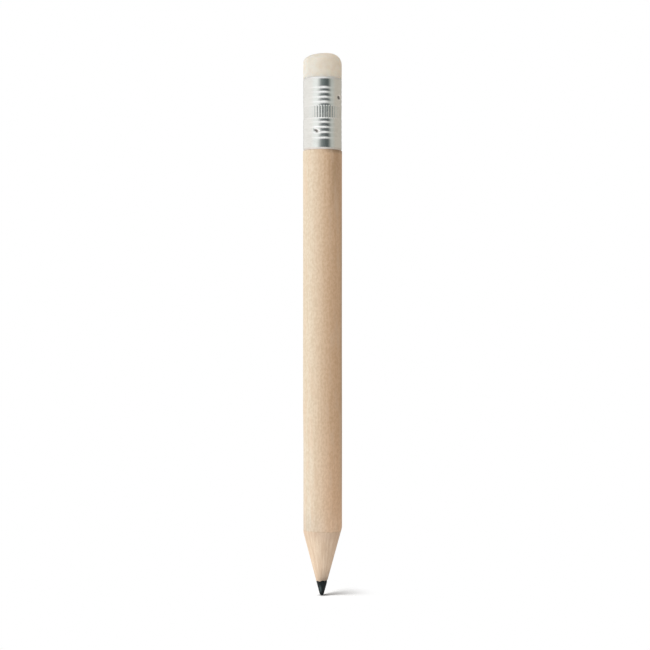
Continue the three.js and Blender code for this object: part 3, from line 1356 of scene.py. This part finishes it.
    def build(self, half: Half) -> None:
        """Builds one slat with its groove and seam faces, and settles it.

        Args:
            half: Which slat.
        """
        spread = np.linspace(-1, 1, self.columns)[None, :]
        height, radius = self.outline(half.value + spread * QUARTER_TURN)
        steps = np.hypot(np.diff(height, axis=0), np.diff(radius, axis=0))
        along = np.concatenate([0 * height[:1], np.cumsum(steps, axis=0)]) / steps.sum(axis=0)
        groove_height = height[:1] + along * (self.top - height[:1])
        outside = turned(half.value + spread * np.arccos(self.seam_gap / 2 / radius), radius, height)
        inner_turn = np.arctan2(outside[:1, :, 0] - self.lead_side, -outside[:1, :, 1])
        inside = turned(inner_turn, self.lead_radius + self.groove_gap, groove_height)
        inside[..., 0] += self.lead_side
        draft = Draft()
        outer_skin = draft.add(outside)
        inner_skin = draft.add(inside)
        draft.skin(outer_skin)
        draft.skin(inner_skin)
        for end in (0, -1):
            draft.skin(np.stack([outer_skin[end], inner_skin[end]]))
            draft.skin(np.stack([outer_skin[:, end], inner_skin[:, end]]))
        name = half.name.lower()
        made = draft.finished(f"{name}_wood_slat", self.sharp_angle)
        settle(made, self.finish(half), f"slat_{name}")


@dataclass
class Lead:
    """The graphite core, sharpened with the wood and as long as the casing."""

    sharpening: Sharpening
    radius: float
    side: float
    top: float
    cone_top: float = 3.5 * MM
    proud: float = 0.025 * MM
    shift: float = 0.018 * MM
    scoring: Ripple = Ripple(depth=0.006 * MM, most_round=22, shortest=6 * MM, seed=3)
    scored_from: Span = (0.2 * MM, 0.6 * MM)
    # Where a highlight is painted on the lead as a paler streak
    sheen: Streak = Streak(
        turn=math.radians(-33), radius=0.65 * MM, middle=1.6 * MM, half_length=1.7 * MM, half_width=0.32 * MM
    )
    columns: int = 120
    tip_rows: int = 12
    cone_rows: int = 60
    rod_rows: int = 20
    sharp_angle: float = math.radians(40)

    def build(self) -> None:
        """Builds the round tip, the cone and the rod, and settles the lead."""
        turn = full_turn(self.columns)
        ball_top = self.sharpening.ball_top
        ball = ball_top * (1 - np.cos(np.linspace(0, QUARTER_TURN, self.tip_rows, endpoint=False)[1:]))
        cone = np.linspace(ball_top, self.cone_top, self.cone_rows)
        rod = np.linspace(self.cone_top, self.top, self.rod_rows)[1:]
        height = column(ball, cone, rod)
        scored = self.scoring.at(turn, height) * smooth_step(*self.scored_from, height)
        spread = self.sharpening.spread(height) + scored + self.proud * smooth_step(0, ball_top, height)
        points = turned(turn, spread, height)
        points[..., 0] += self.sharpening.offset(np.minimum(height, self.cone_top)) + self.shift - self.side
        reach = np.hypot(points[..., 0], points[..., 1])
        points[..., :2] *= np.minimum(1, self.radius / reach)[..., None]
        points[..., 0] += self.side
        draft = Draft()
        rings = draft.add(points)
        tip = draft.add(np.array([[self.sharpening.offset(0.0) + self.shift, 0.0, 0.0]]))
        end = draft.add(np.array([[self.side, 0.0, self.top]]))
        draft.skin(rings, closed=True)
        draft.fan(tip, rings[0])
        draft.fan(end, rings[-1])
        made = draft.finished("graphite_core", self.sharp_angle)
        settle(made, Graphite("graphite", self.sheen), "lead")


@dataclass
class Eraser:
    """The rubber plug, with a crown whose flat lies to one side."""

    sleeve: Ferrule
    top_trim: float = 0.10 * MM
    crown_depth: float = 1.71 * MM
    crown_depth_lean: float = 0.29 * MM
    flat_radius: float = 0.80 * MM
    flat_shift: float = 0.70 * MM
    bulge_radius: float = 0.03 * MM
    step_gap: float = 0.006 * MM
    grip_gap: float = 0.04 * MM
    foot_chamfer: float = 0.4 * MM
    unevenness: Ripple = Ripple(depth=0.012 * MM, most_round=6, shortest=3.5 * MM, seed=22)
    uneven_from: Span = (0.03 * MM, 0.12 * MM)
    columns: int = 180
    flat_rows: int = 9
    crown_rows: int = 44
    side_rows: int = 26
    bulge_rows: int = 6
    plug_rows: int = 40
    sharp_angle: float = math.radians(50)
    finish: EraserRubber = EraserRubber("eraser_rubber")
    radius: float = field(init=False)
    top: float = field(init=False)
    step: float = field(init=False)
    foot: float = field(init=False)

    def __post_init__(self) -> None:
        """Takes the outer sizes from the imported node, and the step from the sleeve."""
        low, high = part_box("eraser")
        self.radius = (high.y - low.y) / 2
        self.top = high.z - self.top_trim
        self.step = self.sleeve.head + self.step_gap
        self.foot = low.z

    def crown(self, turn: Array) -> tuple[Array, Array, Array]:
        """Draws the crown: a flat to one side of the axis, rounded off all round it.

        Args:
            turn: One row of angles from the front.

        Returns:
            Heights and radii in rows from the top down, without the top point itself, and how far
            to +X each row's middle lies.
        """
        depth = self.crown_depth + self.crown_depth_lean * np.sin(turn)
        bend = column(np.linspace(0, QUARTER_TURN, self.crown_rows)[1:])
        flat_share = column(np.linspace(0, 1, self.flat_rows)[1:])
        flat_radius = flat_share * self.flat_radius + 0 * turn
        round_radius = self.flat_radius + (self.radius - self.flat_radius) * np.sin(bend) + 0 * turn
        height = np.concatenate([self.top + 0 * flat_radius, self.top - depth * (1 - np.cos(bend))])
        shift = self.flat_shift * np.concatenate([0 * flat_share + 1, 1 - np.sin(bend)])
        return height, np.concatenate([flat_radius, round_radius]), shift

    def shaft(self, turn: Array, crown_foot: Array) -> tuple[Array, Array]:
        """Draws the side, the bulge over the sleeve's edge and the plug with its chamfered foot.

        Args:
            turn: One row of angles from the front.
            crown_foot: The heights where the crown ends.

        Returns:
            Heights and radii in rows from the crown down.
        """
        side_foot = self.step + self.bulge_radius
        side = crown_foot + column(np.linspace(0, 1, self.side_rows)[1:]) * (side_foot - crown_foot)
        bend = column(np.linspace(0, QUARTER_TURN, self.bulge_rows)[1:]) + 0 * turn
        bulge = side_foot - self.bulge_radius * np.sin(bend)
        bulge_radius = self.radius - self.bulge_radius * (1 - np.cos(bend))
        plug = column(np.linspace(self.step, self.foot + self.foot_chamfer, self.plug_rows)) + 0 * turn
        plug_radius = self.sleeve.bore(turn, plug - self.sleeve.foot) - self.grip_gap
        foot_radius = plug_radius[-1:] - self.foot_chamfer
        radii = [self.radius + 0 * side, bulge_radius, plug_radius, foot_radius]
        return np.concatenate([side, bulge, plug, np.full_like(turn, self.foot)]), np.concatenate(radii)

    def build(self) -> None:
        """Builds the crown and what is below it, and settles the eraser."""
        turn = full_turn(self.columns)
        crown_height, crown_radius, crown_shift = self.crown(turn)
        shaft_height, shaft_radius = self.shaft(turn, crown_height[-1:])
        height = np.concatenate([crown_height, shaft_height])
        radius = np.concatenate([crown_radius, shaft_radius])
        shown = smooth_step(*self.uneven_from, height - self.step)
        uneven = self.unevenness.at(turn, height) - self.unevenness.depth
        points = turned(turn, radius + shown * uneven * radius / self.radius, height)
        points[: len(crown_shift), :, 0] += crown_shift
        draft = Draft()
        rings = draft.add(points)
        top = draft.add(np.array([[self.flat_shift, 0.0, self.top]]))
        foot = draft.add(np.array([[0.0, 0.0, self.foot]]))
        draft.skin(rings, closed=True)
        draft.fan(top, rings[0])
        draft.fan(foot, rings[-1])
        settle(draft.finished("eraser_plug", self.sharp_angle), self.finish, "eraser")


# Studio


@dataclass(frozen=True)
class Lamp:
    """A large round lamp that is aimed at the tip and that shiny surfaces don't mirror."""

    name: str
    turn: float
    rise: float
    size: float
    level: float
    distance: float = 0.6

    def hang(self, scene: bpy.types.Scene) -> bpy.types.Object:
        """Hangs the lamp, with the power that lights white paper square to it to its level.

        Args:
            scene: The scene to hang it in.

        Returns:
            The new lamp.
        """
        light = bpy.data.lights.new(self.name, "AREA")
        light.shape = "DISK"
        light.size = self.size
        light.energy = self.level * (math.pi * self.distance) ** 2
        side = math.cos(self.rise) * math.sin(self.turn)
        front = -math.cos(self.rise) * math.cos(self.turn)
        towards = Vector((side, front, math.sin(self.rise)))
        lamp = bpy.data.objects.new(self.name, light)
        lamp.location = towards * self.distance
        lamp.rotation_euler = towards.to_track_quat("Z", "Y").to_euler()
        lamp.visible_camera = False
        lamp.visible_glossy = False
        scene.collection.objects.link(lamp)
        return lamp


@dataclass(frozen=True)
class Tent:
    """A tent of white cloth that lights the scene, with an opening at the front.

    Each span is where one colour runs into the next, in degrees of turn or of rise above level.
    """

    left_wall: Colour = (0.905, 0.885, 0.85)
    front_wall: Colour = (0.90, 0.925, 0.90)
    right_near: Colour = (0.486, 0.503, 0.467)
    right_far: Colour = (0.505, 0.468, 0.405)
    back_wall: Colour = (0.46, 0.44, 0.41)
    roof: Colour = (0.72, 0.71, 0.70)
    back_to_left: Span = (-180, -140)
    left_to_front: Span = (-75, -45)
    front_to_right: Span = (5, 46)
    near_to_far: Span = (58, 88)
    right_to_back: Span = (125, 180)
    wall_to_roof: Span = (44, 76)

    glow: Colour = (1.40, 1.34, 1.41)
    glow_above: Span = (22, 32)
    glow_roof: Span = (38, 48)
    glow_ground: Span = (-32, -22)
    glow_below: Span = (-13.6, -4.6)

    opening_near: Colour = (0.182, 0.216, 0.211)
    opening_far: Colour = (0.086, 0.105, 0.102)
    near_to_far_opening: Span = (-5, 26)
    opening_left: Span = (-36, -1)
    opening_right: Span = (31, 60)
    opening_foot: Span = (-6.6, -1.6)
    opening_head: Span = (19.4, 24.4)
    opening_middle: float = math.radians(12)
    opening_bow: float = 0.14
    edge_tint: Colour = (1.13, 0.93, 1.03)
    edge_foot: Span = (-1, 4)
    edge_head: Span = (11, 16)

    def hang(self, scene: bpy.types.Scene) -> None:
        """Hangs the tent round the scene.

        Args:
            scene: The scene to light.
        """
        world = bpy.data.worlds.new("tent")
        world.use_nodes = True
        scene.world = world
        sheet = Sheet(world.node_tree)
        side, depth, rise = sheet.split(sheet.node("ShaderNodeTexCoord", None, None, "Generated"))
        turn = sheet.maths("ARCTAN2", side, 0 - depth)
        opening, dark = self._opening(sheet, turn, rise)
        light = sheet.mix(opening, self._cloth(sheet, turn, rise), dark)
        background = sheet.node("ShaderNodeBackground", None, {"Color": light})
        sheet.node("ShaderNodeOutputWorld", None, {"Surface": background})

    def _cloth(self, sheet: Sheet, turn: Signal, rise: Signal) -> Signal:
        """Colours the walls, with a brighter strip above and below eye level, and the roof.

        Args:
            sheet: The sheet to draw on.
            turn: The turn of each direction.
            rise: The sine of its angle above level.

        Returns:
            The colour.
        """
        left = sheet.mix(self._turned(turn, self.left_to_front), self.left_wall, self.front_wall)
        left = sheet.mix(self._turned(turn, self.back_to_left), self.back_wall, left)
        right = sheet.mix(self._turned(turn, self.near_to_far), self.right_near, self.right_far)
        right = sheet.mix(self._turned(turn, self.right_to_back), right, self.back_wall)
        wall = sheet.mix(self._turned(turn, self.front_to_right), left, right)
        above = self._raised(rise, self.glow_above) * (1 - self._raised(rise, self.glow_roof))
        below = self._raised(rise, self.glow_ground) * (1 - self._raised(rise, self.glow_below))
        wall = sheet.tinted(wall, above + below, self.glow)
        return sheet.mix(self._raised(rise, self.wall_to_roof), wall, self.roof)

    def _opening(self, sheet: Sheet, turn: Signal, rise: Signal) -> tuple[Signal, Signal]:
        """Draws the opening, whose upper and lower edges bow.

        Args:
            sheet: The sheet to draw on.
            turn: The turn of each direction.
            rise: The sine of its angle above level.

        Returns:
            How much of the opening shows, and its colour.
        """
        bend = turn - self.opening_middle
        bowed = rise + self.opening_bow * bend * bend
        wide = self._turned(turn, self.opening_left) * (1 - self._turned(turn, self.opening_right))
        tall = self._raised(bowed, self.opening_foot) * (1 - self._raised(bowed, self.opening_head))
        tone = self._turned(turn, self.near_to_far_opening)
        dark = sheet.mix(tone, self.opening_near, self.opening_far)
        level = self._raised(rise, self.edge_foot) * (1 - self._raised(rise, self.edge_head))
        return wide * tall, sheet.tinted(dark, 1 - level, self.edge_tint)

    @staticmethod
    def _turned(turn: Signal, span: Span) -> Signal:
        """Returns the share of a change that spans some degrees of turn."""
        return turn.eased(*(math.radians(end) for end in span))

    @staticmethod
    def _raised(rise: Signal, span: Span) -> Signal:
        """Returns the share of a change that spans some degrees above level."""
        return rise.eased(*(math.sin(math.radians(end)) for end in span))


@dataclass
class Studio:
    """A white backdrop and floor, a light tent, two lamps and a camera."""

    tent: Tent = Tent()
    key: Lamp = Lamp("key_lamp", turn=math.radians(-62), rise=math.radians(22), size=0.5, level=0.30)
    floor_lamp: Lamp = Lamp(
        "floor_lamp", turn=math.radians(-61), rise=math.radians(53.5), size=0.20, level=1.68
    )
    camera_distance: float = 280 * MM
    camera_height: float = 48.5 * MM
    camera_side: float = 0.45 * MM
    lens: float = 86.39
    sensor: float = 36.0
    clip_end: float = 20.0
    floor_radius: float = 40 * MM
    floor_rows: int = 80
    sweep_slope: float = 0.03
    sweep_start: float = 0.6 * MM
    backdrop_radius: float = 2.5
    backdrop_columns: int = 48
    backdrop_rows: int = 24

    def build(self) -> None:
        """Sets up the camera, the light, the floor and the backdrop."""
        scene = bpy.context.scene
        scene.view_settings.view_transform = "Standard"
        self.place_camera(scene)
        self.tent.hang(scene)
        self.hang_backdrop(scene)
        self.key.hang(scene)
        self.light_floor(self.floor_lamp.hang(scene), self.lay_floor(scene))

    def place_camera(self, scene: bpy.types.Scene) -> None:
        """Puts the camera in front at mid height, looking level along +Y.

        Args:
            scene: The scene to look at.
        """
        lens = bpy.data.cameras.new("camera")
        lens.lens = self.lens
        lens.sensor_width = self.sensor
        lens.clip_end = self.clip_end
        camera = bpy.data.objects.new("camera", lens)
        camera.location = (self.camera_side, -self.camera_distance, self.camera_height)
        camera.rotation_euler = (QUARTER_TURN, 0, 0)
        scene.collection.objects.link(camera)
        scene.camera = camera

    def lay_floor(self, scene: bpy.types.Scene) -> bpy.types.Object:
        """Lays a floor of paper that sweeps up gently behind the tip.

        Args:
            scene: The scene to lay it in.

        Returns:
            The new floor.
        """
        paper = bmesh.new()
        rows = self.floor_rows
        bmesh.ops.create_grid(paper, x_segments=rows, y_segments=rows, size=self.floor_radius)
        for vertex in paper.verts:
            behind = max(0.0, vertex.co.y)
            vertex.co.z = self.sweep_slope * (math.hypot(behind, self.sweep_start) - self.sweep_start)
        return self._stage(scene, paper, "floor", FloorPaper("floor_paper"))

    @staticmethod
    def light_floor(lamp: bpy.types.Object, floor: bpy.types.Object) -> None:
        """Keeps a lamp's light to the floor, where the pencil still shades it.

        Args:
            lamp: The lamp.
            floor: The floor.
        """
        lit = bpy.data.collections.new("floor_only")
        lit.objects.link(floor)
        lamp.light_linking.receiver_collection = lit

    def hang_backdrop(self, scene: bpy.types.Scene) -> None:
        """Hangs the white that only the camera sees, right round the scene.

        Args:
            scene: The scene to hang it in.
        """
        dome = bmesh.new()
        columns, rows = self.backdrop_columns, self.backdrop_rows
        bmesh.ops.create_uvsphere(dome, u_segments=columns, v_segments=rows, radius=self.backdrop_radius)
        made = self._stage(scene, dome, "backdrop", BackdropWhite("backdrop_white"))
        made.visible_diffuse = False
        made.visible_glossy = False
        made.visible_transmission = False
        made.visible_volume_scatter = False
        made.visible_shadow = False

    @staticmethod
    def _stage(
        scene: bpy.types.Scene, shape: bmesh.types.BMesh, name: str, finish: Finish
    ) -> bpy.types.Object:
        """Makes a piece of the stage.

        Args:
            scene: The scene to put it in.
            shape: Its shape, which is used up.
            name: Its name.
            finish: Its finish.

        Returns:
            The new object.
        """
        mesh = bpy.data.meshes.new(name)
        shape.to_mesh(mesh)
        shape.free()
        mesh.materials.append(finish.material())
        made = bpy.data.objects.new(name, mesh)
        scene.collection.objects.link(made)
        return made


def main() -> None:
    """Builds the studio and the pencil, piece by piece."""
    logging.basicConfig(level=logging.INFO, format="%(message)s")
    Studio().build()
    ferrule = Ferrule()
    ferrule.build()
    casing = Casing(Sharpening(), ferrule)
    for half in Half:
        casing.build(half)
    Lead(casing.sharpening, casing.lead_radius, casing.lead_side, casing.top).build()
    Eraser(ferrule).build()


if __name__ == "__main__":
    main()
